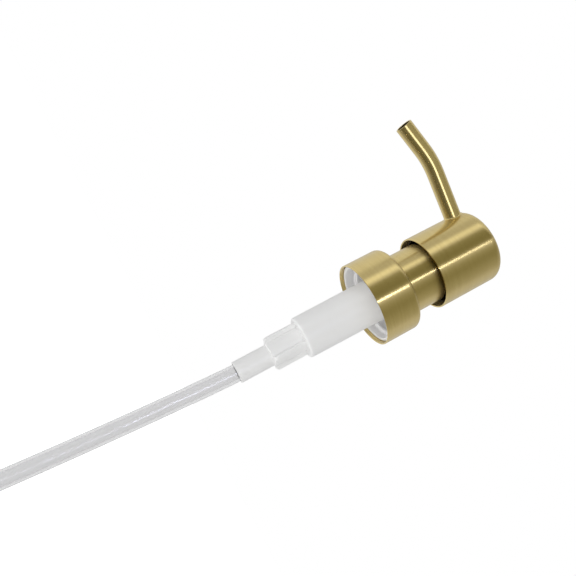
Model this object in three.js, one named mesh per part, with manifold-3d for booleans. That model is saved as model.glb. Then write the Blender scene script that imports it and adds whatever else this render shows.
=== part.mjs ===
// A lotion and soap pump for a bottle with a 28 mm neck: a brushed brass head, spout and collar over a
// moulded plastic piston pump, with its dip tube.
// Millimetres, +Z up along the pump's axis. The origin is on that axis, at the underside of the gasket,
// where the bottle's lip meets it. The spout points along +X.
import * as THREE from "three";
import { mergeVertices, toCreasedNormals } from "three/addons/utils/BufferGeometryUtils.js";
import Module from "manifold-3d";

const wasm = await Module();
wasm.setup();

// ---- driving dimensions ----

const SHEET = 0.6; // thickness of the drawn brass
const SLIP = 0.1; // gap between pieces that slide into each other

const COLLAR = { radius: 16, rim: -9.7, shoulder: 4.9, fillet: 2 };
const SLEEVE = { radius: 11.6, top: 18.4, edge: 0.6, hole: 7 }; // its top stands inside the head
const HEAD = { radius: 14.2, rim: 16.7, top: 42.6, edge: 3.3 };
const SPOUT = {
  radius: 3.175,
  wall: 0.55,
  height: 36.9, // of its straight run above the origin
  start: 6.4, // distance of its inner end from the axis
  corner: 36.7, // where its two straight runs would cross
  bend: THREE.MathUtils.degToRad(17.2),
  bendRadius: 35,
  endRun: 16.4, // from that crossing to the outlet
};

const INSERT = { radius: 15.3, wall: 1.25, rim: -8.3, webBottom: 2.45, webTop: 4.2, spigotTop: 12 };
const THREAD = { pitch: 4.233, turns: 1.35, depth: 1.1, root: 2.3, crest: 1, start: -7.1 }; // 6 per inch
const GASKET = { inner: 8.15, outer: 12.6, thickness: 1.2 };

const FLANGE = { radius: 12.4, bottom: GASKET.thickness, top: 2.4 };
const BARREL = { bore: 6.6, lowRadius: 7.75, highRadius: 8, bottom: -35.7, floor: -34.6, edge: 0.9 };
const NECK = { radius: 9, bore: 7.7, top: 7, step: 1 };
const CHAMBER = { radius: 4.7, bore: 2.6, bottom: -48.1, seatTop: -40.5, seatBottom: -42, inlet: 1.4 };
const RIB = { reach: 6.4, thickness: 1.3, turn: THREE.MathUtils.degToRad(5), corner: 1.2 };
const SOCKET = { radius: 3.97, bore: 3.2, stop: -47, bottom: -61.1 };
const TUBE = { radius: 3.15, bore: 2.3, top: -47.1, bottom: -175, lean: 0.048, bowRadius: 2050, settle: 3 };

const STEM = { radius: 3.9, bore: 2.4, bottom: -3.5, top: 33.4 };
const ROD = { radius: 2.35, bore: 1.4, top: 8, floor: -10.4, portTop: -8.9, portWidth: 1.5 };
const SEAT = { radius: 4.9, bottom: -12.6, top: -11.6 }; // the flange that the spring pushes on
const PISTON = {
  lip: 6.52,
  bottom: -11.5,
  top: -4.5,
  tightness: 0.07, // gap left between its bore and the rod
  sleeve: 3.4,
  foot: 4.2, // outer radius of the ring that stands on the rod's flange
  footBore: 3.1,
  waist: 6.1, // outer radius between the lips
  lipInner: 5.9,
  lipRoot: 5.4,
  lipDepth: 2,
  lipEdge: 0.8, // height of the band that touches the barrel
};
const GUIDE = { plug: 7.6, bottom: 1.1, capBottom: 7.1, capTop: 8.3, tower: 6.2, top: 16.4, bore: 4 };
const WIPER = { outer: 5.5, inner: 3.96, bottom: 1.3, top: 3.4 };
const CORE = { boss: 6.2, bossBottom: 27.9, disc: 1.6, skirtInner: 12.75, skirtBottom: 19.7, spoutBoss: 4.8 };
const DUCT = 2; // radius of the ways for the liquid inside the core
const SEAL = { wire: 0.42, groove: 4.15, from: 8, to: 9.1 };
const SPRING = { coil: 4.3, wire: 0.45, turns: 7.5, closed: 0.85, closedPitch: 0.96 };
const CAGE = {
  radius: 6.4,
  bottom: -34.5,
  top: -33.6,
  boss: 3.6,
  bossTop: -31.5,
  ring: 2.5,
  ringBottom: -37.4,
};
const BALL = { radius: 2, height: -40.5 };

const WIDE = 36; // sides of the large turned pieces
const FINE = 24; // sides of the small ones

// ---- finishes ----

const finish = (color, roughness, metalness, extra = {}) => ({ color, roughness, metalness, ...extra });
const BRASS = finish(0xb9a467, 0.34, 1);
const STEEL = finish(0xb8babc, 0.3, 1);
const WHITE = finish(0xeeeeec, 0.45, 0);
const MILKY = finish(0xe9eaea, 0.4, 0, { transparent: true, opacity: 0.85 });
const CLEAR = finish(0xe6eaea, 0.2, 0, { transparent: true, opacity: 0.4 });
const DARK = finish(0x3a3026, 0.6, 0);
const GREY = finish(0xc9c9c6, 0.7, 0);
const RUBBER = finish(0x26262a, 0.7, 0);

// ---- shape helpers ----

// Points of an arc in an outline, as [radius, height], from one angle to another in degrees.
function arc(centre, radius, from, to, steps = 5) {
  return Array.from({ length: steps + 1 }, (_, i) => {
    const angle = THREE.MathUtils.degToRad(from + ((to - from) * i) / steps);
    return [centre[0] + radius * Math.cos(angle), centre[1] + radius * Math.sin(angle)];
  });
}

// An outline of [radius, height] points turned about the Z axis. One that starts and ends on the axis
// is left open there; any other is closed on itself.
function turned(outline, sides = WIDE) {
  const points = outline.map(([r, z]) => new THREE.Vector2(r, z));
  if (THREE.ShapeUtils.isClockWise(points)) points.reverse();
  const onAxis = points[0].x === 0 && points[points.length - 1].x === 0;
  if (!onAxis) points.push(points[0].clone());
  return new THREE.LatheGeometry(points, sides).rotateX(Math.PI / 2);
}

// A round ring or, with no bore, a round rod between two heights.
function ring(radius, bore, bottom, top, sides = FINE) {
  return turned([[bore, bottom], [radius, bottom], [radius, top], [bore, top]], sides);
}

// The same lying along +X at a given height, from one x to another.
function ringAlongX(radius, bore, from, to, height, sides = FINE) {
  return ring(radius, bore, from, to, sides).rotateY(Math.PI / 2).translate(0, 0, height);
}

// A round section, hollow where a bore is given, drawn along a curve.
function drawn(curve, radius, bore, sides, steps) {
  const section = new THREE.Shape().absarc(0, 0, radius, 0, 2 * Math.PI);
  if (bore) section.holes.push(new THREE.Path().absarc(0, 0, bore, 0, 2 * Math.PI, true));
  return new THREE.ExtrudeGeometry(section, { steps, curveSegments: sides, extrudePath: curve });
}

// A block between two corners.
function block(low, high) {
  const size = high.map((v, i) => v - low[i]);
  return new THREE.BoxGeometry(...size).translate(...low.map((v, i) => v + size[i] / 2));
}

function toSolid(geometry) {
  const bare = geometry.clone().deleteAttribute("normal").deleteAttribute("uv");
  const merged = mergeVertices(bare, 1e-4);
  return new wasm.Manifold(
    new wasm.Mesh({
      numProp: 3,
      vertProperties: merged.attributes.position.array,
      triVerts: Uint32Array.from(merged.index.array),
    }),
  );
}

function toGeometry(solid) {
  const mesh = solid.getMesh();
  return new THREE.BufferGeometry()
    .setAttribute("position", new THREE.BufferAttribute(mesh.vertProperties, 3))
    .setIndex(new THREE.BufferAttribute(mesh.triVerts, 1));
}

const joined = (first, ...others) => toGeometry(others.reduce((s, g) => s.add(toSolid(g)), toSolid(first)));
const cut = (first, ...others) => toGeometry(others.reduce((s, g) => s.subtract(toSolid(g)), toSolid(first)));

// ---- brass ----

// The push head: a drawn cup, open below, with a rounded top edge and a hole for the spout.
function headShell() {
  const { radius, rim, top, edge } = HEAD;
  const centre = [radius - edge, top - edge];
  const cup = turned([
    [0, top],
    ...arc(centre, edge, 90, 0),
    [radius, rim],
    [radius - SHEET, rim],
    ...arc(centre, edge - SHEET, 0, 90),
    [0, top - SHEET],
  ]);
  return cut(cup, ringAlongX(SPOUT.radius + SLIP, 0, CORE.skirtInner, radius + 1, SPOUT.height));
}

// The spout's centre line: a straight run out of the head, a gentle bend downwards, and a straight end.
class SpoutLine extends THREE.Curve {
  getPoint(t) {
    const { start, corner, height, bend, bendRadius, endRun } = SPOUT;
    const tangent = bendRadius * Math.tan(bend / 2);
    const first = corner - tangent - start;
    const round = bendRadius * bend;
    const along = t * (first + round + endRun - tangent);
    if (along <= first) return new THREE.Vector3(start + along, 0, height);
    const angle = Math.min((along - first) / bendRadius, bend);
    const rest = Math.max(along - first - round, 0);
    return new THREE.Vector3(
      start + first + bendRadius * Math.sin(angle) + rest * Math.cos(bend),
      0,
      height - bendRadius * (1 - Math.cos(angle)) - rest * Math.sin(bend),
    );
  }
}

const spoutTube = () => drawn(new SpoutLine(), SPOUT.radius, SPOUT.radius - SPOUT.wall, 10, 15);

// The collar: a drawn shell with a wide skirt, a rounded shoulder, a narrower neck sleeve and a flange
// turned in at the sleeve's top round the stem guide.
function collarShell() {
  const { radius, rim, shoulder, fillet } = COLLAR;
  const { radius: neck, top, edge, hole } = SLEEVE;
  const skirtCentre = [radius - fillet, shoulder - fillet];
  const neckCentre = [neck - edge, top - edge];
  return turned([
    [radius, rim],
    ...arc(skirtCentre, fillet, 0, 90),
    [neck, shoulder],
    ...arc(neckCentre, edge, 0, 90, 2),
    [hole, top],
    [hole, top - SHEET],
    [neck - SHEET, top - SHEET],
    [neck - SHEET, shoulder - SHEET],
    ...arc(skirtCentre, fillet - SHEET, 90, 0),
    [radius - SHEET, rim],
  ]);
}

// ---- closure and seal ----

// A trapezoid ridge wound on the inside of the closure, sunk a little into its wall, fading in and out.
function threadRidge(wallRadius) {
  const sunk = 0.2;
  const thin = 0.15; // share of its depth that the ridge starts and ends with
  const { pitch, turns, depth, root, crest, start } = THREAD;
  const section = new THREE.Shape([
    new THREE.Vector2(-sunk, -root / 2),
    new THREE.Vector2(depth, -crest / 2),
    new THREE.Vector2(depth, crest / 2),
    new THREE.Vector2(-sunk, root / 2),
  ]);
  const whole = turns * 2 * Math.PI;
  const steps = Math.round(turns * WIDE);
  const ridge = new THREE.ExtrudeGeometry(section, { steps, depth: whole, bevelEnabled: false });
  const place = ridge.attributes.position;
  for (let i = 0; i < place.count; i++) {
    const [inward, up, angle] = [place.getX(i), place.getY(i), place.getZ(i)];
    const fade = Math.min(1, thin + 2 * Math.min(angle, whole - angle));
    const reach = wallRadius - (inward > 0 ? inward * fade : inward);
    const height = start + up + (pitch * angle) / (2 * Math.PI);
    place.setXYZ(i, reach * Math.cos(angle), reach * Math.sin(angle), height);
  }
  return ridge;
}

// The white threaded closure inside the collar, with a web over the pump's flange and a spigot that
// centres the neck sleeve.
function closureInsert() {
  const { radius, wall, rim, webBottom, webTop, spigotTop } = INSERT;
  const inside = radius - wall;
  const corner = COLLAR.fillet - SHEET;
  const hole = NECK.radius + 3 * SLIP;
  const body = turned([
    [inside, rim],
    [radius - 0.3, rim],
    [radius, rim + 0.3],
    [radius, webTop - corner],
    [radius - corner, webTop],
    [SLEEVE.radius - SHEET - SLIP, webTop],
    [SLEEVE.radius - SHEET - SLIP, spigotTop],
    [hole, spigotTop],
    [hole, webBottom],
    [inside, webBottom],
  ]);
  return joined(body, threadRidge(inside));
}

const gasket = () => ring(GASKET.outer, GASKET.inner, 0, GASKET.thickness, WIDE);

// ---- pump body ----

// One of the four ribs that stand out of the valve chamber, with a rounded lower corner.
function chamberRib(index) {
  const { reach, thickness, turn, corner } = RIB;
  const sunk = 1;
  const inner = CHAMBER.radius - sunk;
  const top = BARREL.bottom + sunk / 2;
  const bottom = CHAMBER.bottom;
  const outline = new THREE.Shape()
    .moveTo(inner, bottom)
    .lineTo(reach - corner, bottom)
    .absarc(reach - corner, bottom + corner, corner, -Math.PI / 2, 0)
    .lineTo(reach, top)
    .lineTo(inner, top);
  return new THREE.ExtrudeGeometry(outline, { depth: thickness, bevelEnabled: false, curveSegments: 3 })
    .translate(0, 0, -thickness / 2)
    .rotateX(Math.PI / 2)
    .rotateZ(turn + (index * Math.PI) / 2);
}

// The moulded body: a flange under the closure, the barrel, the ribbed valve chamber with its conical
// ball seat, and the socket for the dip tube.
function pumpHousing() {
  const body = turned([
    [BARREL.bore, BARREL.floor],
    [BARREL.bore, NECK.step],
    [NECK.bore, NECK.step],
    [NECK.bore, NECK.top],
    [NECK.radius, NECK.top],
    [NECK.radius, FLANGE.top],
    [FLANGE.radius, FLANGE.top],
    [FLANGE.radius, FLANGE.bottom],
    [BARREL.highRadius, FLANGE.bottom],
    ...arc([BARREL.lowRadius - BARREL.edge, BARREL.bottom + BARREL.edge], BARREL.edge, 0, -90, 3),
    [CHAMBER.radius, BARREL.bottom],
    [CHAMBER.radius, CHAMBER.bottom],
    [SOCKET.radius, CHAMBER.bottom],
    [SOCKET.radius, SOCKET.bottom],
    [SOCKET.bore, SOCKET.bottom],
    [SOCKET.bore, SOCKET.stop],
    [CHAMBER.inlet, SOCKET.stop],
    [CHAMBER.inlet, CHAMBER.seatBottom],
    [CHAMBER.bore, CHAMBER.seatTop],
    [CHAMBER.bore, BARREL.floor],
  ]);
  return joined(body, ...[0, 1, 2, 3].map(chamberRib));
}

// The stem guide: a plug in the housing's neck, a cap that rests on it, and a tower round the stem.
function stemGuide() {
  const recess = WIPER.outer + SLIP;
  const recessTop = WIPER.top + 2 * SLIP;
  return turned([
    [recess, GUIDE.bottom],
    [GUIDE.plug, GUIDE.bottom],
    [GUIDE.plug, GUIDE.capBottom],
    [NECK.radius, GUIDE.capBottom],
    [NECK.radius, GUIDE.capTop],
    [GUIDE.tower, GUIDE.capTop],
    [GUIDE.tower, GUIDE.top],
    [GUIDE.bore, GUIDE.top],
    [GUIDE.bore, recessTop],
    [recess, recessTop],
  ], FINE);
}

// The wiper seal in the guide's foot: a soft ring with a groove that frees its inner lip.
function stemWiper() {
  const { outer, inner, bottom, top } = WIPER;
  const groove = bottom + 1.2;
  return turned([
    [inner, bottom],
    [inner + 0.5, bottom],
    [inner + 0.6, groove],
    [outer - 0.4, groove],
    [outer - 0.3, bottom],
    [outer, bottom],
    [outer, top],
    [inner, top],
  ], FINE);
}

// The dip tube's centre line: straight in its socket, then leaning and bowing gently towards the spout.
class TubeLine extends THREE.Curve {
  getPoint(t) {
    const z = TUBE.top + (TUBE.bottom - TUBE.top) * t;
    const below = Math.max(SOCKET.bottom - z, 0);
    const lean = TUBE.lean * (below - TUBE.settle * (1 - Math.exp(-below / TUBE.settle)));
    return new THREE.Vector3(lean + (below * below) / (2 * TUBE.bowRadius), 0, z);
  }
}

const dipTube = () => drawn(new TubeLine(), TUBE.radius, TUBE.bore, 8, 18);

// ---- valves, piston and stem ----

// The spring's foot and the ball's cage: a disc on the barrel's floor with a boss inside the spring and
// a slotted ring that stops the ball. Liquid passes through the slots and the bore.
function ballCage() {
  const body = turned([
    [CHAMBER.inlet, CAGE.ringBottom],
    [CAGE.ring, CAGE.ringBottom],
    [CAGE.ring, CAGE.bottom],
    [CAGE.radius, CAGE.bottom],
    [CAGE.radius, CAGE.top],
    [CAGE.boss, CAGE.top],
    [CAGE.boss, CAGE.bossTop],
    [CHAMBER.inlet, CAGE.bossTop],
  ], FINE);
  const [slot, reach, slotTop] = [0.5, 3, CAGE.bottom - 0.7];
  const slots = [[reach, slot], [slot, reach]].map(([x, y]) =>
    block([-x, -y, CAGE.ringBottom - 1], [x, y, slotTop]));
  return cut(body, ...slots);
}

const inletBall = () => new THREE.SphereGeometry(BALL.radius, 16, 10).translate(0, 0, BALL.height);

// The spring's centre line: a helix with a closed turn at each end.
class SpringLine extends THREE.Curve {
  getPoint(t) {
    const { coil, wire, turns, closed, closedPitch } = SPRING;
    const [low, high] = [CAGE.top + wire + SLIP / 2, SEAT.bottom - wire - SLIP / 2];
    const turn = t * turns;
    const ends = closed * closedPitch;
    const open = (high - low - 2 * ends) / (turns - 2 * closed);
    let rise = ends + open * (turn - closed);
    if (turn < closed) rise = closedPitch * turn;
    if (turn > turns - closed) rise = high - low - closedPitch * (turns - turn);
    const angle = 2 * Math.PI * turn;
    return new THREE.Vector3(coil * Math.cos(angle), coil * Math.sin(angle), low + rise);
  }
}

const returnSpring = () => drawn(new SpringLine(), SPRING.wire, 0, 3, Math.round(SPRING.turns * 14));

// The piston: a sleeve that seals on the rod, a foot that seats on the rod's flange, and two lips that
// wipe the barrel.
function piston() {
  const { lip, bottom, top, sleeve, foot, footBore, waist, lipInner, lipRoot, lipDepth, lipEdge } = PISTON;
  const seal = ROD.radius + PISTON.tightness;
  const step = footBore - seal;
  return turned([
    [seal, top],
    [sleeve, top],
    [sleeve, top - lipDepth],
    [lipRoot, top - lipDepth],
    [lipInner, top],
    [lip, top],
    [lip, top - lipEdge],
    [waist, top - lipDepth],
    [waist, bottom + lipDepth],
    [lip, bottom + lipEdge],
    [lip, bottom],
    [lipInner, bottom],
    [lipRoot, bottom + lipDepth],
    [foot, bottom + lipDepth],
    [foot, bottom],
    [footBore, bottom],
    [footBore, bottom + 3],
    [seal, bottom + 3 + step],
  ], FINE);
}

// The hollow stem that carries the liquid up into the head.
const upperStem = () => ring(STEM.radius, STEM.bore, STEM.bottom, STEM.top);

// The rod through the piston: a flange that the spring lifts, and a bore that opens through two side
// ports inside the piston.
function pistonRod() {
  const body = turned([
    [0, SEAT.bottom],
    [SEAT.radius, SEAT.bottom],
    [SEAT.radius, SEAT.top],
    [ROD.radius, SEAT.top],
    [ROD.radius, ROD.top],
    [ROD.bore, ROD.top],
    [ROD.bore, ROD.floor],
    [0, ROD.floor],
  ], FINE);
  const half = ROD.portWidth / 2;
  return cut(body, block([-ROD.radius - 1, -half, ROD.floor], [ROD.radius + 1, half, ROD.portTop]));
}

// ---- inside the head ----

// The moulded core inside the head: a skirt and disc that fit the shell, a boss with the socket for the
// stem, and a cross boss that takes the spout and its seal.
function headCore() {
  const skirt = HEAD.radius - SHEET - SLIP;
  const top = HEAD.top - SHEET - 2 * SLIP;
  const disc = top - CORE.disc;
  const socket = STEM.radius + SLIP / 2;
  const body = turned([
    [0, top],
    [HEAD.radius - HEAD.edge + 0.4, top],
    [skirt - 0.6, top - 1.2],
    [skirt, top - 2.6],
    [skirt, CORE.skirtBottom],
    [CORE.skirtInner, CORE.skirtBottom],
    [CORE.skirtInner, disc],
    [CORE.boss, disc],
    [CORE.boss, CORE.bossBottom],
    [0, CORE.bossBottom],
  ]);
  const reach = CORE.skirtInner - 0.7;
  const solid = joined(body, ringAlongX(CORE.spoutBoss, 0, 0, reach, SPOUT.height));
  return cut(
    solid,
    ring(socket, 0, CORE.bossBottom - 1, STEM.top + SLIP / 2),
    ring(DUCT, 0, STEM.top - 1, SPOUT.height),
    ringAlongX(DUCT, 0, -DUCT, SPOUT.start + 1, SPOUT.height),
    ringAlongX(SPOUT.radius + SLIP, 0, SPOUT.start - SLIP, HEAD.radius, SPOUT.height),
    ringAlongX(SEAL.groove, 0, SEAL.from, SEAL.to, SPOUT.height),
  );
}

// The O-ring between the spout and the core.
function spoutSeal() {
  const ringRadius = SPOUT.radius + SLIP / 2 + SEAL.wire;
  return new THREE.TorusGeometry(ringRadius, SEAL.wire, 8, FINE)
    .rotateY(Math.PI / 2)
    .translate((SEAL.from + SEAL.to) / 2, 0, SPOUT.height);
}

// ---- the pump ----

const CREASE = THREE.MathUtils.degToRad(35);

function piece(name, geometry, look) {
  const mesh = new THREE.Mesh(toCreasedNormals(geometry, CREASE), new THREE.MeshStandardMaterial(look));
  mesh.name = name;
  return mesh;
}

const pump = new THREE.Group();

const head = new THREE.Group();
head.add(
  piece("head_shell", headShell(), BRASS),
  piece("head_core", headCore(), DARK),
  piece("spout_tube", spoutTube(), BRASS),
  piece("spout_seal", spoutSeal(), RUBBER),
);

const collar = new THREE.Group();
collar.add(
  piece("collar_shell", collarShell(), BRASS),
  piece("closure_insert", closureInsert(), WHITE),
);

const body = new THREE.Group();
body.add(
  piece("gasket", gasket(), GREY),
  piece("pump_housing", pumpHousing(), MILKY),
  piece("stem_guide", stemGuide(), WHITE),
  piece("stem_wiper", stemWiper(), RUBBER),
  piece("ball_cage", ballCage(), WHITE),
  piece("return_spring", returnSpring(), STEEL),
  piece("dip_tube", dipTube(), CLEAR),
);

const plunger = new THREE.Group();
plunger.add(
  piece("upper_stem", upperStem(), WHITE),
  piece("piston_rod", pistonRod(), WHITE),
);

pump.add(
  head,
  collar,
  body,
  plunger,
  piece("piston", piston(), MILKY),
  piece("inlet_ball", inletBall(), STEEL),
);

export default pump;
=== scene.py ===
"""The looks of a soap pump: brushed brass head, spout and collar over a moulded pump and a dip tube.

Pieces are drawn in millimetres about the pump's axis, +Z up, and stored in metres.
"""

import math

import bmesh
import bpy
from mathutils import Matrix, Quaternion, Vector


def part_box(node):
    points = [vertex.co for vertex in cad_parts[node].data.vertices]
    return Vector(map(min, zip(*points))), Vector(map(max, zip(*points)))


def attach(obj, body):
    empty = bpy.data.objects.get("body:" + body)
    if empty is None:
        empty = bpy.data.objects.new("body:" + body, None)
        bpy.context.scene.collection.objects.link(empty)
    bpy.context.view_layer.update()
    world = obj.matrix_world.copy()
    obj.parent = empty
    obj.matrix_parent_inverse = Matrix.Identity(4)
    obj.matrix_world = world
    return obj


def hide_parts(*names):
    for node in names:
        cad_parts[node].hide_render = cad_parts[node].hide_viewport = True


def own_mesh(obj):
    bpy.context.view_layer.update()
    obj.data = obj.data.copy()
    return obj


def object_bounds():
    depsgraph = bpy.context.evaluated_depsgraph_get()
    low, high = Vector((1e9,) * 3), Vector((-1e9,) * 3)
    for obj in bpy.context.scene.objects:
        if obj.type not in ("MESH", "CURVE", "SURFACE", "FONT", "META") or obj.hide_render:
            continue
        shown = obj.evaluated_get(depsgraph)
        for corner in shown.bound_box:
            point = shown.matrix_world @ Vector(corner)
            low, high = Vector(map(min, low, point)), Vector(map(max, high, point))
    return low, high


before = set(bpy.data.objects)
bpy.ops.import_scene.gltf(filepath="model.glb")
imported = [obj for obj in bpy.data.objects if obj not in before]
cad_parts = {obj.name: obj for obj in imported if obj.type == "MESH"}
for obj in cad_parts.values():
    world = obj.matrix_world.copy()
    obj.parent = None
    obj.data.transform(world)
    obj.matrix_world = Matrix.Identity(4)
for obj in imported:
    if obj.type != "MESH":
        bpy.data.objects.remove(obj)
cad_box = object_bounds()

MM = 0.001
SIDES = 128  # of the large turned pieces
FEW_SIDES = 72  # of the small ones
UV_MM = 50  # length along an outline that makes one unit of V


# ---- sizes from the frame, in millimetres ----


def bottom(node):
    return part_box(node)[0][2] / MM


def top(node):
    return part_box(node)[1][2] / MM


def radius(node):
    low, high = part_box(node)
    return (high[1] - low[1]) / 2 / MM


SHEET = 0.6  # thickness of the drawn brass
SLIP = 0.1  # gap between pieces that slide into each other
SPRING_FOOT = -33.6  # height of the disc that the spring stands on
SLEEVE_RADIUS = 11.6
AXIS_OF_SPOUT = 36.9  # height of the spout's straight run
SPOUT_START = 6.4  # distance of its inner end from the pump's axis
SPOUT_CORNER = 36.7  # where its two straight runs would cross
SPOUT_BEND = math.radians(17.2)
SPOUT_BEND_RADIUS = 35
SPOUT_END_RUN = 16.4  # from that crossing to the outlet
SPOUT_RADIUS = radius("spout_tube")
HEAD_RADIUS = radius("head_shell")
STEM_RADIUS = radius("upper_stem")
BARREL_RADIUS = 7.75
BARREL_BORE = 6.6
BARREL_BOTTOM = -35.7
CHAMBER_RADIUS = 4.7
CHAMBER_BOTTOM = -48.1
RIB_TURN = math.radians(5)
SOCKET_RADIUS = 3.97
INLET = 1.4  # radius of the way through the ball seat
NECK_RADIUS = 9
SOCKET_BOTTOM = bottom("pump_housing")
TUBE_RADIUS = radius("dip_tube")
TUBE_TOP = top("dip_tube")
TUBE_BORE = 2.3
TUBE_LEAN = 0.048  # its slope below the socket
TUBE_BOW_RADIUS = 2050
TUBE_SETTLE = 3  # the stretch over which it starts to lean


# ---- shapes ----


def arc(centre, size, start, end, steps=8):
    """Points of an arc from one angle to another, in degrees."""
    turns = [math.radians(start + (end - start) * i / steps) for i in range(steps + 1)]
    return [(centre[0] + size * math.cos(a), centre[1] + size * math.sin(a)) for a in turns]


def rounded(*corners, edge=0.15):
    """A closed outline through (radius, height) or (radius, height, fillet) corners, each one rounded."""
    outline = []
    for i, corner in enumerate(corners):
        here = Vector(corner[:2])
        fillet = corner[2] if len(corner) > 2 else edge
        if not fillet or here.x == 0:
            outline.append(tuple(here))
            continue
        back = (Vector(corners[i - 1][:2]) - here).normalized()
        on = (Vector(corners[(i + 1) % len(corners)][:2]) - here).normalized()
        half = back.angle(on) / 2
        centre = here + (back + on).normalized() * (fillet / math.sin(half))
        first = here + back * (fillet / math.tan(half)) - centre
        last = here + on * (fillet / math.tan(half)) - centre
        sweep = first.angle_signed(last)
        steps = max(3, math.ceil(abs(sweep) * (2 + fillet * 1.6)))  # more round a larger fillet
        start = math.atan2(first.y, first.x)
        for k in range(steps + 1):
            angle = start - sweep * k / steps
            outline.append((centre.x + fillet * math.cos(angle), centre.y + fillet * math.sin(angle)))
    return outline


def divided(outline, step):
    """The outline with its long straight stretches cut into steps no longer than this."""
    points = []
    for i, here in enumerate(outline):
        there = outline[(i + 1) % len(outline)]
        count = max(1, math.ceil(math.dist(here, there) / step))
        for k in range(count):
            points.append(tuple(a + (b - a) * k / count for a, b in zip(here, there)))
    return points


def upright(reach, height, angle):
    """Turns an outline about the pump's axis."""
    return reach * math.cos(angle), reach * math.sin(angle), height


def along_x(height):
    """Turns an outline about a line along +X at this height: its heights become distances along X."""
    return lambda reach, way, angle: (way, reach * math.sin(angle), height + reach * math.cos(angle))


def new_piece(name, vertices, faces, uvs=None):
    """A mesh object from points in millimetres, with its normals outwards."""
    mesh = bpy.data.meshes.new(name)
    mesh.from_pydata([[v * MM for v in point] for point in vertices], [], faces)
    layer = mesh.uv_layers.new(name="UVMap")
    if uvs:
        layer.data.foreach_set("uv", [value for uv in uvs for value in uv])
    shape = bmesh.new()
    shape.from_mesh(mesh)
    bmesh.ops.remove_doubles(shape, verts=shape.verts, dist=1e-4 * MM)
    bmesh.ops.recalc_face_normals(shape, faces=shape.faces)
    shape.to_mesh(mesh)
    shape.free()
    piece = bpy.data.objects.new(name, mesh)
    bpy.context.scene.collection.objects.link(piece)
    return piece


def turned(name, outline, sides=SIDES, place=upright):
    """A closed outline turned about an axis. U runs once round it and V along the outline."""
    whole = len(outline)
    points = [place(r, z, 2 * math.pi * j / sides) for r, z in outline for j in range(sides)]
    ways = [0.0]
    for i in range(whole):
        ways.append(ways[-1] + math.dist(outline[i], outline[(i + 1) % whole]) / UV_MM)
    faces, uvs = [], []
    for i in range(whole):
        after = (i + 1) % whole
        if outline[i][0] == outline[after][0] == 0:
            continue
        for j in range(sides):
            beside = (j + 1) % sides
            faces.append((i * sides + j, after * sides + j, after * sides + beside, i * sides + beside))
            low, high = j / sides, (j + 1) / sides
            uvs += [(low, ways[i]), (low, ways[i + 1]), (high, ways[i + 1]), (high, ways[i])]
    return new_piece(name, points, faces, uvs)


def swept(name, centres, section):
    """A closed section, as (outwards, up) offsets, along the centres (x, y, z, scale) of a helix.

    The scale of a centre shortens the offsets outwards there.
    """
    count = len(section)
    points = []
    for x, y, z, scale in centres:
        out = Vector((x, y)).normalized()
        points += [(x + out.x * a * scale, y + out.y * a * scale, z + b) for a, b in section]
    faces = [tuple(range(count)), tuple(range(len(points) - count, len(points)))]
    for i in range(len(centres) - 1):
        for j in range(count):
            beside = (j + 1) % count
            faces.append((i * count + j, i * count + beside, (i + 1) * count + beside, (i + 1) * count + j))
    return new_piece(name, points, faces)


def prism(name, outline, low, high, turn=0.0):
    """An (x, z) outline made solid between two y, then turned about the pump's axis."""
    count = len(outline)
    c, s = math.cos(turn), math.sin(turn)
    points = [(x * c - y * s, x * s + y * c, z) for y in (low, high) for x, z in outline]
    faces = [tuple(range(count)), tuple(range(count, 2 * count))]
    faces += [(i, (i + 1) % count, (i + 1) % count + count, i + count) for i in range(count)]
    return new_piece(name, points, faces)


def block(x, y, low, high):
    """A box centred on the axis, with half widths x and y, between two heights."""
    return prism("block", [(-x, low), (x, low), (x, high), (-x, high)], -y, y)


def cylinder(size, start, end, place=upright):
    """A round tool for combine, between two ends."""
    return turned("cylinder", [(0, start), (size, start), (size, end), (0, end)], FEW_SIDES, place)


def combine(piece, tool, operation):
    """Joins the tool to the piece, cuts it away or keeps what both share. The tool is used up."""
    modifier = piece.modifiers.new(operation, "BOOLEAN")
    modifier.operation = operation
    modifier.solver = "EXACT"
    modifier.object = tool
    graph = bpy.context.evaluated_depsgraph_get()
    whole = bpy.data.meshes.new_from_object(piece.evaluated_get(graph))
    piece.modifiers.clear()
    piece.data = whole
    bpy.data.objects.remove(tool)


def finish_piece(piece, body, node, slot, *materials, sharp=38):
    """Smooths the piece's round faces, gives it its materials and puts it in place of its CAD node."""
    for each in materials:
        piece.data.materials.append(each)
    piece.data.polygons.foreach_set("use_smooth", [True] * len(piece.data.polygons))
    piece.data.set_sharp_from_angle(angle=math.radians(sharp))
    weights = piece.modifiers.new("even_normals", "WEIGHTED_NORMAL")
    weights.keep_sharp = True
    weights.weight = 90
    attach(piece, body)
    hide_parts(node)
    return piece


# ---- brass pieces ----


def head_shell():
    """The push head: a drawn cup, open below, with a rounded top edge and a hole for the spout."""
    outer, rim, crown = radius("head_shell"), bottom("head_shell"), top("head_shell")
    edge, reach = 3.3, 2
    outline = rounded(
        (0, crown),
        (outer, crown, edge),
        (outer, rim, 0.22),
        (outer - SHEET, rim, 0.22),
        (outer - SHEET, crown - SHEET, edge - SHEET),
        (0, crown - SHEET),
    )
    shell = turned("head_cup", divided(outline, 6))
    hole = cylinder(SPOUT_RADIUS + SLIP, outer - reach, outer + reach, along_x(AXIS_OF_SPOUT))
    combine(shell, hole, "DIFFERENCE")
    return shell


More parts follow.
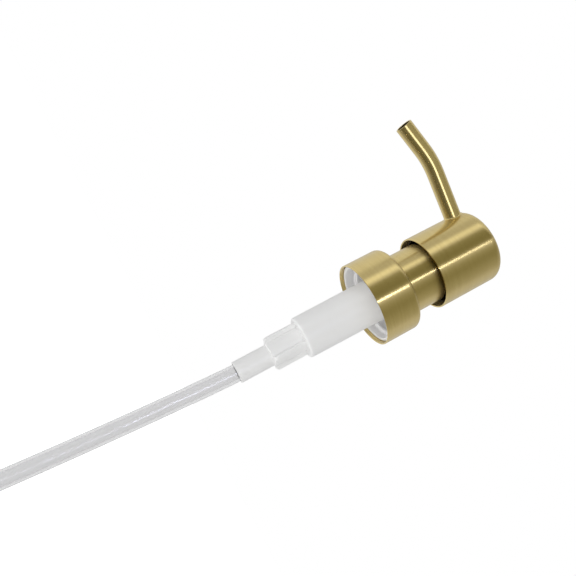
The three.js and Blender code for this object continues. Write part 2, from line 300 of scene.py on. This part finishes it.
def along_spout(reach, way, angle):
    """A point beside the spout's centre line: straight, then bent downwards, then straight again.

    Close to the head the rings follow the head's round wall, so that the solder fillet meets it.
    """
    saddle_run = 5
    tangent = SPOUT_BEND_RADIUS * math.tan(SPOUT_BEND / 2)
    first = SPOUT_CORNER - tangent - SPOUT_START
    bent = min(max(way - first, 0) / SPOUT_BEND_RADIUS, SPOUT_BEND)
    rest = max(way - first - SPOUT_BEND_RADIUS * SPOUT_BEND, 0)
    x = SPOUT_START + min(way, first) + SPOUT_BEND_RADIUS * math.sin(bent) + rest * math.cos(bent)
    z = AXIS_OF_SPOUT - SPOUT_BEND_RADIUS * (1 - math.cos(bent)) - rest * math.sin(bent)
    side, up = reach * math.sin(angle), reach * math.cos(angle)
    saddle = math.sqrt(HEAD_RADIUS * HEAD_RADIUS - side * side) - HEAD_RADIUS
    nearness = max(0.0, 1 - abs(SPOUT_START + way - HEAD_RADIUS) / saddle_run)
    return x + up * math.sin(bent) + saddle * nearness, side, z + up * math.cos(bent)


def spout_tube():
    """A tube of one diameter with a square end, soldered to the head with a small fillet."""
    wall, lip, fillet, sunk = 0.55, 0.14, 0.6, 0.3
    sides, slack = 96, 0.01
    tangent = SPOUT_BEND_RADIUS * math.tan(SPOUT_BEND / 2)
    length = SPOUT_CORNER - SPOUT_START - 2 * tangent + SPOUT_BEND_RADIUS * SPOUT_BEND + SPOUT_END_RUN
    root = HEAD_RADIUS - SPOUT_START
    outer = SPOUT_RADIUS
    end = rounded((outer, 0), (outer, length), (outer - wall, length), (outer - wall, 0), edge=lip)
    solder = [(outer, root - sunk), (outer + fillet, root - sunk)]
    solder += arc((outer + fillet, root + fillet - 0.05), fillet, 270, 180)
    first = end.index(next(p for p in end if p[1] > root))
    outline = divided(end[:first] + solder + end[first:], 1.2)
    spout = turned("spout", outline, sides, along_spout)
    for face in spout.data.polygons:
        reach, way = outline[face.index // sides]
        if reach < outer - wall + slack and way < length - lip + slack:
            # the bore gets the material painted near black as shade
            face.material_index = 1  # the bore, which is dull
    return spout


def collar_shell():
    """The collar: a wide skirt, a rounded shoulder and a narrower neck sleeve, drawn from one sheet."""
    outer, rim, crown = radius("collar_shell"), bottom("collar_shell"), top("collar_shell")
    shoulder, fillet, hole = 4.9, 2, 7
    return turned("collar", rounded(
        (outer, rim, 0.2),
        (outer, shoulder, fillet),
        (SLEEVE_RADIUS, shoulder, 0.35),
        (SLEEVE_RADIUS, crown, 0.6),
        (hole, crown, 0.2),
        (hole, crown - SHEET, 0.2),
        (SLEEVE_RADIUS - SHEET, crown - SHEET, 0.1),
        (SLEEVE_RADIUS - SHEET, shoulder - SHEET, 0.3),
        (outer - SHEET, shoulder - SHEET, fillet - SHEET),
        (outer - SHEET, rim, 0.2),
    ))


# ---- closure and seal ----


def thread_ridge(wall):
    """The closure's right-hand thread: a ridge with sloping flanks that fades in and out."""
    pitch, turns, depth, root, crest, start = 4.233, 1.35, 1.1, 2.3, 1.0, -7.1
    sunk, corner = 0.3, 0.15
    steps = round(turns * 72)
    section = [(sunk, -root / 2), (corner - depth, -crest / 2), (-depth, corner - crest / 2),
               (-depth, crest / 2 - corner), (corner - depth, crest / 2), (sunk, root / 2)]
    centres = []
    for i in range(steps + 1):
        angle = 2 * math.pi * turns * i / steps
        fade = min(1, 0.15 + 2 * min(angle, 2 * math.pi * turns - angle))
        height = start + pitch * angle / (2 * math.pi)
        centres.append((wall * math.cos(angle), wall * math.sin(angle), height, fade))
    return swept("ridge", centres, section)


def closure_insert():
    """The white threaded closure inside the collar, with a web over the pump's flange and a spigot."""
    outer, rim, spigot = radius("closure_insert"), bottom("closure_insert"), top("closure_insert")
    inside = outer - 1.25
    web_bottom, web_top = 2.45, 4.2
    plug, bore = SLEEVE_RADIUS - SHEET - SLIP, NECK_RADIUS + 0.3
    insert = turned("closure", rounded(
        (inside, rim, 0.25),
        (outer, rim, 0.3),
        (outer, web_top, 1.4),
        (plug, web_top, 0.1),
        (plug, spigot, 0.3),
        (bore, spigot, 0.3),
        (bore, web_bottom, 0.2),
        (inside, web_bottom, 0.4),
    ))
    combine(insert, thread_ridge(inside), "UNION")
    return insert


def gasket():
    """The foam liner: a flat ring."""
    hole, outer, low, high = 8.15, radius("gasket"), bottom("gasket"), top("gasket")
    return turned("liner", rounded((hole, low), (outer, low), (outer, high), (hole, high), edge=0.2))


# ---- pump body ----


def chamber_rib(index):
    """One of the four ribs that stand out of the valve chamber, with a rounded lower corner."""
    reach, thickness, corner, edge = 6.4, 1.3, 1.2, 0.16
    inner, crown = CHAMBER_RADIUS - 1, BARREL_BOTTOM + 0.4
    outline = [(inner, CHAMBER_BOTTOM)]
    outline += arc((reach - corner, CHAMBER_BOTTOM + corner), corner, -90, 0)
    outline += [(reach, crown), (inner, crown)]
    rib = prism("rib", outline, -thickness / 2, thickness / 2, RIB_TURN + index * math.pi / 2)
    shape = bmesh.new()
    shape.from_mesh(rib.data)
    sharp = [e for e in shape.edges if e.is_manifold and e.calc_face_angle() > math.radians(60)]
    bmesh.ops.bevel(shape, geom=sharp, offset=edge * MM, segments=2, profile=0.5, affect="EDGES")
    shape.to_mesh(rib.data)
    shape.free()
    return rib


def pump_housing():
    """The moulded body: flange, barrel, ribbed valve chamber with its ball seat, and the tube socket."""
    outer, crown, end = radius("pump_housing"), top("pump_housing"), bottom("pump_housing")
    neck_bore, step, floor, stop = 7.7, 1, -34.6, -47
    seat_top, seat_bottom, chamber_bore, socket_bore = -40.5, -42, 2.6, 3.2
    flange_bottom, flange_top, taper = 1.2, 2.4, 0.25
    body = turned("housing", rounded(
        (BARREL_BORE, floor, 0.4),
        (BARREL_BORE, step, 0.2),
        (neck_bore, step, 0.2),
        (neck_bore, crown, 0.15),
        (NECK_RADIUS, crown, 0.3),
        (NECK_RADIUS, flange_top, 0.3),
        (outer, flange_top, 0.25),
        (outer, flange_bottom, 0.25),
        (BARREL_RADIUS + taper, flange_bottom, 0.3),
        (BARREL_RADIUS, BARREL_BOTTOM, 0.9),
        (CHAMBER_RADIUS, BARREL_BOTTOM, 0.3),
        (CHAMBER_RADIUS, CHAMBER_BOTTOM, 0.22),
        (SOCKET_RADIUS, CHAMBER_BOTTOM, 0.25),
        (SOCKET_RADIUS, end, 0.18),
        (socket_bore, end, 0.18),
        (socket_bore, stop, 0.1),
        (INLET, stop, 0.1),
        (INLET, seat_bottom, 0.1),
        (chamber_bore, seat_top, 0.2),
        (chamber_bore, floor, 0.3),
    ))
    for index in range(4):
        combine(body, chamber_rib(index), "UNION")
    return body


def along_tube(reach, way, angle):
    """A point beside the dip tube's centre line, which leans and bows a little once out of its socket."""
    z = TUBE_TOP - way
    below = max(SOCKET_BOTTOM - z, 0)
    fade = math.exp(-below / TUBE_SETTLE)
    x = TUBE_LEAN * (below - TUBE_SETTLE * (1 - fade)) + below * below / (2 * TUBE_BOW_RADIUS)
    slope = math.atan(TUBE_LEAN * (1 - fade) + below / TUBE_BOW_RADIUS)
    out = reach * math.cos(angle)
    return x + out * math.cos(slope), reach * math.sin(angle), z + out * math.sin(slope)


def dip_tube():
    """The clear tube: an open pipe with square ends."""
    tilt_room = 0.5  # the leaning end's rim hangs lower than its middle
    length = top("dip_tube") - bottom("dip_tube") - tilt_room
    corners = (TUBE_BORE, 0), (TUBE_RADIUS, 0), (TUBE_RADIUS, length), (TUBE_BORE, length)
    return turned("tube", divided(rounded(*corners, edge=0.12), 3), 64, along_tube)


def stem_guide():
    """The guide in the housing's neck: a plug, a cap that rests on it and a tower round the stem."""
    recess, recess_top = radius("stem_wiper") + SLIP, top("stem_wiper") + 0.2
    plug, tower, cap_bottom, cap_top, bore = 7.6, 6.2, 7.1, 8.3, 4
    return turned("guide", rounded(
        (recess, bottom("stem_guide"), 0.15),
        (plug, bottom("stem_guide"), 0.3),
        (plug, cap_bottom, 0.1),
        (NECK_RADIUS, cap_bottom, 0.2),
        (NECK_RADIUS, cap_top, 0.3),
        (tower, cap_top, 0.3),
        (tower, top("stem_guide"), 0.3),
        (bore, top("stem_guide"), 0.3),
        (bore, recess_top, 0.1),
        (recess, recess_top, 0.1),
    ), FEW_SIDES)


def stem_wiper():
    """The soft wiper seal in the guide's foot, with a groove that frees its inner lip."""
    low, high = bottom("stem_wiper"), top("stem_wiper")
    outer, inner, groove = radius("stem_wiper"), STEM_RADIUS + 0.06, bottom("stem_wiper") + 1.2
    return turned("wiper", rounded(
        (inner, low, 0.1),
        (inner + 0.5, low, 0.1),
        (inner + 0.6, groove, 0.15),
        (outer - 0.4, groove, 0.15),
        (outer - 0.3, low, 0.08),
        (outer, low, 0.08),
        (outer, high, 0.15),
        (inner, high, 0.15),
    ), FEW_SIDES)


# ---- valves, piston, stem and spring ----


def ball_cage():
    """The spring's foot: a disc with a boss inside the spring and a slotted ring over the inlet ball."""
    low, high, outer = bottom("ball_cage"), top("ball_cage"), radius("ball_cage")
    disc_bottom, boss, ring = -34.5, 3.6, 2.5
    slit_top = disc_bottom - 0.7
    cage = turned("cage", rounded(
        (INLET, low, 0.1),
        (ring, low, 0.15),
        (ring, disc_bottom, 0.1),
        (outer, disc_bottom, 0.15),
        (outer, SPRING_FOOT, 0.15),
        (boss, SPRING_FOOT, 0.2),
        (boss, high, 0.4),
        (INLET, high, 0.15),
    ), FEW_SIDES)
    half, reach = 0.5, 3
    for x, y in ((reach, half), (half, reach)):
        combine(cage, block(x, y, low - 1, slit_top), "DIFFERENCE")
    return cage


def inlet_ball():
    """The steel ball that closes the inlet."""
    size = radius("inlet_ball")
    middle = (top("inlet_ball") + bottom("inlet_ball")) / 2
    outline = arc((0, middle), size, -90, 90, 32)
    outline[0] = (0, outline[0][1])
    outline[-1] = (0, outline[-1][1])
    return turned("ball", outline, 64)


def return_spring():
    """A compression spring of round wire with a closed turn at each end."""
    coil, wire, turns, closed, closed_pitch = 4.3, 0.45, 7.5, 0.85, 0.96
    low, high = bottom("return_spring") + wire, top("return_spring") - wire
    ends = closed * closed_pitch
    pitch = (high - low - 2 * ends) / (turns - 2 * closed)
    steps = round(turns * 48)
    centres = []
    for i in range(steps + 1):
        turn = turns * i / steps
        rise = ends + pitch * (turn - closed)
        if turn < closed:
            rise = closed_pitch * turn
        if turn > turns - closed:
            rise = high - low - closed_pitch * (turns - turn)
        angle = 2 * math.pi * turn
        centres.append((coil * math.cos(angle), coil * math.sin(angle), low + rise, 1))
    return swept("spring", centres, arc((0, 0), wire, 0, 330, 11))


def piston():
    """The piston: a sleeve that seals on the rod and two thin lips that wipe the barrel."""
    lip, low, high = radius("piston"), bottom("piston"), top("piston")
    seal, collar, root, lip_inside, waist = 2.42, 3.4, 5.4, 5.9, 6.1
    skirt, skirt_inside, depth, wiping = 4.2, 3.1, 2, 0.8
    return turned("piston_sleeve", rounded(
        (seal, high, 0.15),
        (collar, high, 0.15),
        (collar, high - depth, 0.3),
        (root, high - depth, 0.3),
        (lip_inside, high, 0.1),
        (lip, high, 0.15),
        (lip, high - wiping, 0.2),
        (waist, high - depth, 0.3),
        (waist, low + depth, 0.3),
        (lip, low + wiping, 0.2),
        (lip, low, 0.15),
        (lip_inside, low, 0.1),
        (root, low + depth, 0.3),
        (skirt, low + depth, 0.3),
        (skirt, low, 0.15),
        (skirt_inside, low, 0.15),
        (skirt_inside, low + 3, 0.15),
        (seal, low + 3.7, 0.15),
    ), FEW_SIDES)


def upper_stem():
    """The hollow stem that carries the head and the liquid."""
    bore, low, high = 2.4, bottom("upper_stem"), top("upper_stem")
    return turned("stem", rounded(
        (bore, low, 0.15), (STEM_RADIUS, low, 0.3), (STEM_RADIUS, high, 0.3), (bore, high, 0.15),
    ), FEW_SIDES)


def piston_rod():
    """The rod through the piston, with the flange that the spring lifts and two side ports."""
    low, high, flange = bottom("piston_rod"), top("piston_rod"), radius("piston_rod")
    rod, bore, seat_top, floor, port_top, half = 2.35, 1.4, -11.6, -10.4, -8.9, 0.75
    piece = turned("rod", rounded(
        (0, low),
        (flange, low, 0.2),
        (flange, seat_top, 0.2),
        (rod, seat_top, 0.1),
        (rod, high, 0.2),
        (bore, high, 0.1),
        (bore, floor, 0.2),
        (0, floor),
    ), FEW_SIDES)
    combine(piece, block(rod + 1, half, floor, port_top), "DIFFERENCE")
    return piece


def head_core():
    """The moulding inside the head: a skirt, a disc, the stem's socket and a cross boss for the spout."""
    outer, crown, low = radius("head_core"), top("head_core"), bottom("head_core")
    inner, boss, boss_bottom, stem_top = 12.75, 6.2, 27.9, 33.4
    disc, cross, passage, groove = crown - 1.6, 4.8, 2, 4.15
    sideways = along_x(AXIS_OF_SPOUT)
    core = turned("core", rounded(
        (0, crown),
        (outer, crown, 2.4),
        (outer, low, 0.15),
        (inner, low, 0.2),
        (inner, disc, 0.6),
        (boss, disc, 0.4),
        (boss, boss_bottom, 0.3),
        (0, boss_bottom),
    ))
    combine(core, cylinder(cross, 0, inner - 0.7, sideways), "UNION")
    bores = [
        (STEM_RADIUS + SLIP / 2, boss_bottom - 1, stem_top + SLIP / 2, upright),
        (passage, stem_top - 1, AXIS_OF_SPOUT, upright),
        (passage, -passage, SPOUT_START + 1, sideways),
        (SPOUT_RADIUS + SLIP, SPOUT_START - SLIP, outer + 1, sideways),
        (groove, 8, 9.1, sideways),
    ]
    for bore in bores:
        combine(core, cylinder(*bore), "DIFFERENCE")
    return core


def spout_seal():
    """The O-ring between the spout and the core."""
    wire = 0.42
    low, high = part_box("spout_seal")
    middle = (low[0] + high[0]) / 2 / MM
    section = arc((SPOUT_RADIUS + SLIP / 2 + wire, middle), wire, 0, 345, 23)
    return turned("o_ring", section, FEW_SIDES, along_x(AXIS_OF_SPOUT))


# ---- materials ----


def set_inputs(tree, node, sockets):
    """Sets the node's inputs. One that is given another node's socket is linked to it."""
    for name, value in sockets.items():
        if isinstance(value, bpy.types.NodeSocket):
            tree.links.new(value, node.inputs[name])
        else:
            node.inputs[name].default_value = value


def add(tree, kind, sockets=None, **settings):
    """A new node with its settings and inputs."""
    made = tree.nodes.new("ShaderNode" + kind)
    for name, value in settings.items():
        setattr(made, name, value)
    set_inputs(tree, made, sockets or {})
    return made


def scaled(tree, value, low, high):
    """A 0 to 1 value spread between two others."""
    sockets = {"Value": value, "To Min": low, "To Max": high}
    return add(tree, "MapRange", sockets).outputs["Result"]


def blended(tree, factor, first, second):
    """A colour between two, by a factor."""
    mix = add(tree, "Mix", {"Factor": factor}, data_type="RGBA")
    colours = [s for s in mix.inputs if s.type == "RGBA"]
    colours[0].default_value = (*first, 1)
    colours[1].default_value = (*second, 1)
    return next(s for s in mix.outputs if s.type == "RGBA")


def material(name):
    """An empty node material and its tree, shader and output."""
    made = bpy.data.materials.new(name)
    made.use_nodes = True
    tree = made.node_tree
    tree.nodes.clear()
    shader = add(tree, "BsdfPrincipled")
    add(tree, "OutputMaterial", {"Surface": shader.outputs[0]})
    return made, tree, shader


def around(tree):
    """Where a point lies on a turned piece: x and y round a circle, and its way along the outline."""
    uv = add(tree, "SeparateXYZ", {0: add(tree, "UVMap", uv_map="UVMap").outputs[0]}).outputs
    turn = add(tree, "Math", {0: uv[0], 1: 2 * math.pi}, operation="MULTIPLY").outputs[0]
    x = add(tree, "Math", {0: turn}, operation="COSINE").outputs[0]
    y = add(tree, "Math", {0: turn}, operation="SINE").outputs[0]
    return x, y, uv[1]


def brushed_brass(name, relief_mm):
    """Satin brass, brushed in fine lines round each piece, under a thin clear lacquer."""
    made, tree, shader = material(name)
    x, y, along = around(tree)
    lines = []
    for spacing_mm, bend in ((0.09, 1.3), (0.5, 0.8)):
        z = add(tree, "Math", {0: along, 1: UV_MM / spacing_mm}, operation="MULTIPLY").outputs[0]
        place = add(tree, "CombineXYZ", {0: x, 1: y, 2: z}).outputs[0]
        lines.append(add(tree, "TexNoise", {"Vector": place, "Scale": bend, "Detail": 2.0}).outputs[0])
    cloud = add(tree, "TexNoise", {
        "Vector": add(tree, "TexCoord").outputs["Object"], "Scale": 60.0, "Detail": 2.0,
    }).outputs[0]
    grain = add(tree, "Math", {0: lines[0], 1: lines[1]}, operation="ADD").outputs[0]
    grain = add(tree, "MapRange", {"Value": grain, "From Min": 0.7, "From Max": 1.3}).outputs[0]
    bump = add(tree, "Bump", {"Height": grain, "Strength": 0.5, "Distance": relief_mm * MM})
    round_it = add(tree, "Tangent", direction_type="UV_MAP", uv_map="UVMap")
    set_inputs(tree, shader, {
        "Base Color": blended(tree, grain, (0.68, 0.535, 0.22), (0.74, 0.595, 0.26)),
        "Roughness": scaled(tree, cloud, 0.24, 0.29),
        "Normal": bump.outputs[0],
        "Tangent": round_it.outputs[0],
        "Metallic": 1.0,
        "Anisotropic": 1.0,
        "Anisotropic Rotation": 0.25,
        "Coat Weight": 0.22,
        "Coat Roughness": 0.2,
    })
    return made


def painted_shade_bore():
    """The unpolished inside of the spout, its near-black colour painted shade for the dark deep inside the
    brass tube.
    """
    made, tree, shader = material("painted_shade_bore")
    where = add(tree, "TexCoord").outputs["Object"]
    # a faint mottle between two near-blacks of painted shade
    shade_mottle = add(tree, "TexNoise", {"Vector": where, "Scale": 500.0, "Detail": 4.0}).outputs[0]
    set_inputs(tree, shader, {
        "Base Color": blended(tree, shade_mottle, (0.010, 0.007, 0.004), (0.03, 0.021, 0.011)),
        "Roughness": 0.6,
        "Specular IOR Level": 0.2,
    })
    return made


def moulded(name, dark, light, roughness, scatter, depth_mm, grain_mm=0.35, bump_mm=0.006):
    """A moulded plastic: a satin skin with fine texture and slight clouds, and light scattered inside."""
    made, tree, shader = material(name)
    where = add(tree, "TexCoord").outputs["Object"]
    cloud = add(tree, "TexNoise", {"Vector": where, "Scale": 140.0, "Detail": 3.0}).outputs[0]
    fine = 1 / (grain_mm * MM)
    grain = add(tree, "TexNoise", {"Vector": where, "Scale": fine, "Detail": 3.0}).outputs[0]
    bump = add(tree, "Bump", {"Height": grain, "Strength": 0.5, "Distance": bump_mm * MM})
    set_inputs(tree, shader, {
        "Base Color": blended(tree, cloud, dark, light),
        "Roughness": scaled(tree, grain, roughness - 0.06, roughness + 0.06),
        "Normal": bump.outputs[0],
    })
    if scatter:
        set_inputs(tree, shader, {
            "Subsurface Weight": scatter,
            "Subsurface Radius": (1.0, 1.0, 1.0),
            "Subsurface Scale": depth_mm * MM,
        })
    return made


def clear_plastic():
    """Extruded natural polyethylene: clear with a faint haze and fine draw lines along it."""
    made, tree, shader = material("clear_plastic")
    x, y, along = around(tree)
    place = add(tree, "CombineXYZ", {0: x, 1: y, 2: along}).outputs[0]
    lines = add(tree, "TexNoise", {"Vector": place, "Scale": 9.0, "Detail": 2.0}).outputs[0]
    bump = add(tree, "Bump", {"Height": lines, "Strength": 0.15, "Distance": 0.005 * MM})
    set_inputs(tree, shader, {
        "Base Color": (0.80, 0.80, 0.805, 1),
        "Roughness": scaled(tree, lines, 0.15, 0.22),
        "Normal": bump.outputs[0],
        "Transmission Weight": 1.0,
        "IOR": 1.5,
    })
    return made


def foam():
    """Foamed polyethylene liner: matt grey with fine closed cells."""
    made, tree, shader = material("grey_foam")
    where = add(tree, "TexCoord").outputs["Object"]
    cells = add(tree, "TexVoronoi", {"Vector": where, "Scale": 4500.0}).outputs["Distance"]
    bump = add(tree, "Bump", {"Height": cells, "Strength": 0.6, "Distance": 0.05 * MM})
    set_inputs(tree, shader, {
        "Base Color": blended(tree, cells, (0.50, 0.50, 0.49), (0.62, 0.62, 0.60)),
        "Roughness": 0.85,
        "Normal": bump.outputs[0],
    })
    return made


def drawn_steel():
    """Bright drawn stainless steel, with faint patches in its polish."""
    made, tree, shader = material("stainless_steel")
    where = add(tree, "TexCoord").outputs["Object"]
    patches = add(tree, "TexNoise", {"Vector": where, "Scale": 900.0, "Detail": 3.0}).outputs[0]
    set_inputs(tree, shader, {
        "Base Color": blended(tree, patches, (0.52, 0.53, 0.54), (0.66, 0.66, 0.67)),
        "Roughness": scaled(tree, patches, 0.16, 0.32),
        "Metallic": 1.0,
    })
    return made


# ---- camera, light and floor ----


def make_camera():
    """The pump lies across the view, seen from below and from the side, its head to the right."""
    camera = bpy.data.objects.new("camera", bpy.data.cameras.new("camera"))
    bpy.context.scene.collection.objects.link(camera)
    place = Vector((52.59, 188.28, -73.03)) * MM
    aim = Vector((17.68, -3.22, -31.46)) * MM
    roll = math.radians(63.02)
    camera.location = place
    camera.rotation_mode = "QUATERNION"
    level = (aim - place).to_track_quat("-Z", "Y")
    camera.rotation_quaternion = level @ Quaternion((0, 0, 1), roll)
    camera.data.lens = 35
    camera.data.sensor_width = 36
    camera.data.clip_start = 0.01
    bpy.context.scene.camera = camera


def make_floor():
    """A pale floor under the end of the tube."""
    size, gap = 3.0, 0.2 * MM
    z = cad_box[0].z - gap
    corners = [(-size, -size, z), (size, -size, z), (size, size, z), (-size, size, z)]
    mesh = bpy.data.meshes.new("floor")
    mesh.from_pydata(corners, [], [(0, 1, 2, 3)])
    floor = bpy.data.objects.new("floor", mesh)
    bpy.context.scene.collection.objects.link(floor)
    made, tree, shader = material("pale_floor")
    set_inputs(tree, shader, {
        "Base Color": (0.85, 0.85, 0.85, 1),
        "Roughness": 0.9,
        "Specular IOR Level": 0.0,
        "Emission Color": (1, 1, 1, 1),
        "Emission Strength": 0.9,
    })
    mesh.materials.append(made)
    floor.visible_glossy = False
    floor.visible_diffuse = False
    floor.visible_transmission = False


KEY_SIDE = Vector((0.15, 0.7, -0.75)).normalized()  # where the soft key light comes from
BRIGHT_SIDE = Vector((0.12, 0.45, -0.9)).normalized()  # the lighter side of the room for the plastics

# What the metal mirrors, by compass angle from +X towards +Y in degrees: brightness of the studio there.
SURROUND = [
    (-180, 0.62), (-154, 0.64), (-130, 0.62), (-95, 0.62), (-64, 0.76), (-24, 0.82), (-13, 0.78), (-4, 0.60),
    (14, 0.60), (20, 0.95), (24, 1.22), (31, 1.10), (37, 0.62), (43, 0.29), (66, 0.25), (76, 0.28),
    (82, 0.42), (87, 0.60), (92, 0.57), (97, 0.47), (102, 0.40), (110, 0.34), (118, 0.30), (126, 0.30),
    (156, 0.41), (168, 0.47), (180, 0.62),
]


def make_world():
    """Soft white studio: pure white behind, and screens and darker gaps round the pump for the metal."""
    world = bpy.data.worlds.new("studio")
    bpy.context.scene.world = world
    world.use_nodes = True
    tree = world.node_tree
    tree.nodes.clear()
    heading_out = add(tree, "TexCoord").outputs["Generated"]
    way = add(tree, "SeparateXYZ", {0: heading_out}).outputs
    compass = add(tree, "Math", {0: way[1], 1: way[0]}, operation="ARCTAN2").outputs[0]
    spread = add(tree, "MapRange", {"Value": compass, "From Min": -math.pi, "From Max": math.pi})
    ramp = add(tree, "ValToRGB", {"Fac": spread.outputs[0]})
    stops = ramp.color_ramp.elements
    for angle, _ in SURROUND[1:-1]:
        stops.new((angle + 180) / 360)
    for stop, (angle, value) in zip(stops, SURROUND):
        warmth = max(0.0, 1 - value / 0.55)
        stop.color = (value * (1 + 0.1 * warmth), value, value * (1 - 0.7 * warmth), 1)
    under = add(tree, "VectorMath", {0: heading_out, 1: (0, -0.3, 1)}, operation="DOT_PRODUCT")
    darker_below = add(tree, "MapRange", {
        "Value": under.outputs["Value"], "From Min": -1.0, "From Max": -0.2, "To Min": 0.3, "To Max": 1.0,
    }, interpolation_type="SMOOTHSTEP").outputs[0]
    brighter_low = add(tree, "MapRange", {
        "Value": way[2], "From Min": -0.2, "From Max": 0.3, "To Min": 1.3, "To Max": 1.0,
    }, interpolation_type="SMOOTHSTEP").outputs[0]
    strength = add(tree, "Math", {0: darker_below, 1: brighter_low}, operation="MULTIPLY").outputs[0]
    mirrored = add(tree, "Background", {"Color": ramp.outputs[0], "Strength": strength}).outputs[0]
    facing = add(tree, "VectorMath", {0: heading_out, 1: BRIGHT_SIDE}, operation="DOT_PRODUCT")
    side = add(tree, "MapRange", {"Value": facing.outputs["Value"], "From Min": -1.0}).outputs[0]
    side = add(tree, "Math", {0: side, 1: 2.0}, operation="POWER").outputs[0]
    lighting = add(tree, "Background", {"Color": scaled(tree, side, 0.45, 1.60)}).outputs[0]
    seen = add(tree, "Background", {"Color": (1, 1, 1, 1)}).outputs[0]
    path = add(tree, "LightPath").outputs
    direct = {0: path["Is Camera Ray"], 1: path["Is Transmission Ray"]}
    direct = add(tree, "Math", direct, operation="MAXIMUM").outputs[0]
    inner = add(tree, "MixShader", {0: path["Is Glossy Ray"], 1: lighting, 2: mirrored}).outputs[0]
    outer = add(tree, "MixShader", {0: direct, 1: inner, 2: seen}).outputs[0]
    add(tree, "OutputWorld", {"Surface": outer})


def area_light(name, direction, distance, width, height, energy):
    """A soft rectangle of light that faces the pump from a direction."""
    data = bpy.data.lights.new(name, "AREA")
    data.shape = "RECTANGLE"
    data.size, data.size_y = width, height
    data.energy = energy
    light = bpy.data.objects.new(name, data)
    bpy.context.scene.collection.objects.link(light)
    light.location = direction * distance
    light.rotation_mode = "QUATERNION"
    light.rotation_quaternion = (-direction).to_track_quat("-Z", "Y")
    return light


def heading(compass, rise):
    """The direction at a compass angle from +X towards +Y and a rise above level, in degrees."""
    compass, rise = math.radians(compass), math.radians(rise)
    return Vector((math.cos(compass) * math.cos(rise), math.sin(compass) * math.cos(rise), math.sin(rise)))


def light_only(light, piece, state):
    """Lights the piece alone (INCLUDE) or everything but the piece (EXCLUDE)."""
    group = bpy.data.collections.new(light.name + "_receivers")
    group.objects.link(piece)
    light.light_linking.receiver_collection = group
    group.collection_objects[0].light_linking.link_state = state


def make_lights(spout):
    """A broad key light, and the strips that draw the thin bright line along the metal.

    The head and collar mirror an upright strip, and the spout, which lies across them, a level one.
    """
    key = area_light("key", KEY_SIDE, 0.8, 0.5, 0.5, 2.8)
    key.visible_glossy = False
    upright_strip = area_light("upright_strip", heading(84, -8), 1.0, 0.07, 0.6, 2.3)
    light_only(upright_strip, spout, "EXCLUDE")
    level_strip = area_light("level_strip", heading(95, -8), 1.0, 0.9, 0.36, 2.5)
    for strip in (upright_strip, level_strip):
        strip.data.color = (0.94, 0.96, 1.2)
        strip.visible_diffuse = False
    light_only(level_strip, spout, "INCLUDE")


# ---- the scene ----

brass = brushed_brass("brushed_brass", 0.004)
fine_brass = brushed_brass("fine_brass", 0.0005)
white = moulded("white_plastic", (0.94, 0.93, 0.93), (0.97, 0.96, 0.96), 0.42, 0.4, 1.0)
milky = moulded("milky_plastic", (0.86, 0.86, 0.855), (0.90, 0.90, 0.895), 0.38, 0.4, 1.0)
clear = clear_plastic()
# The head core is dark plastic. Its brown tint is painted shade: the colour of shaded brass inside the
# head's mouth.
dark = moulded("dark_plastic", (0.05, 0.037, 0.02), (0.075, 0.056, 0.03), 0.6, 0, 0)
rubber = moulded("black_rubber", (0.02, 0.02, 0.021), (0.035, 0.035, 0.037), 0.65, 0, 0)
grey = foam()
steel = drawn_steel()

make_camera()
make_floor()
make_world()

finish_piece(head_shell(), "head", "head_shell", "brushed_brass", brass)
finish_piece(head_core(), "head", "head_core", "dark_plastic", dark)
spout = finish_piece(spout_tube(), "head", "spout_tube", "brushed_brass", fine_brass, painted_shade_bore())
finish_piece(spout_seal(), "head", "spout_seal", "black_rubber", rubber)
finish_piece(collar_shell(), "collar", "collar_shell", "brushed_brass", brass)
finish_piece(closure_insert(), "collar", "closure_insert", "white_plastic", white)
finish_piece(gasket(), "pump_body", "gasket", "grey_foam", grey)
finish_piece(pump_housing(), "pump_body", "pump_housing", "milky_plastic", milky)
finish_piece(dip_tube(), "pump_body", "dip_tube", "clear_plastic", clear)
finish_piece(stem_guide(), "pump_body", "stem_guide", "white_plastic", white)
finish_piece(stem_wiper(), "pump_body", "stem_wiper", "black_rubber", rubber)
finish_piece(ball_cage(), "pump_body", "ball_cage", "white_plastic", white)
finish_piece(inlet_ball(), "inlet_ball", "inlet_ball", "stainless_steel", steel)
finish_piece(piston(), "piston", "piston", "milky_plastic", milky)
finish_piece(upper_stem(), "plunger", "upper_stem", "white_plastic", white)
finish_piece(piston_rod(), "plunger", "piston_rod", "white_plastic", white)
spring = finish_piece(return_spring(), "pump_body", "return_spring", "stainless_steel", steel)
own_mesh(spring)

make_lights(spout)
bpy.context.scene.view_settings.view_transform = "Standard"
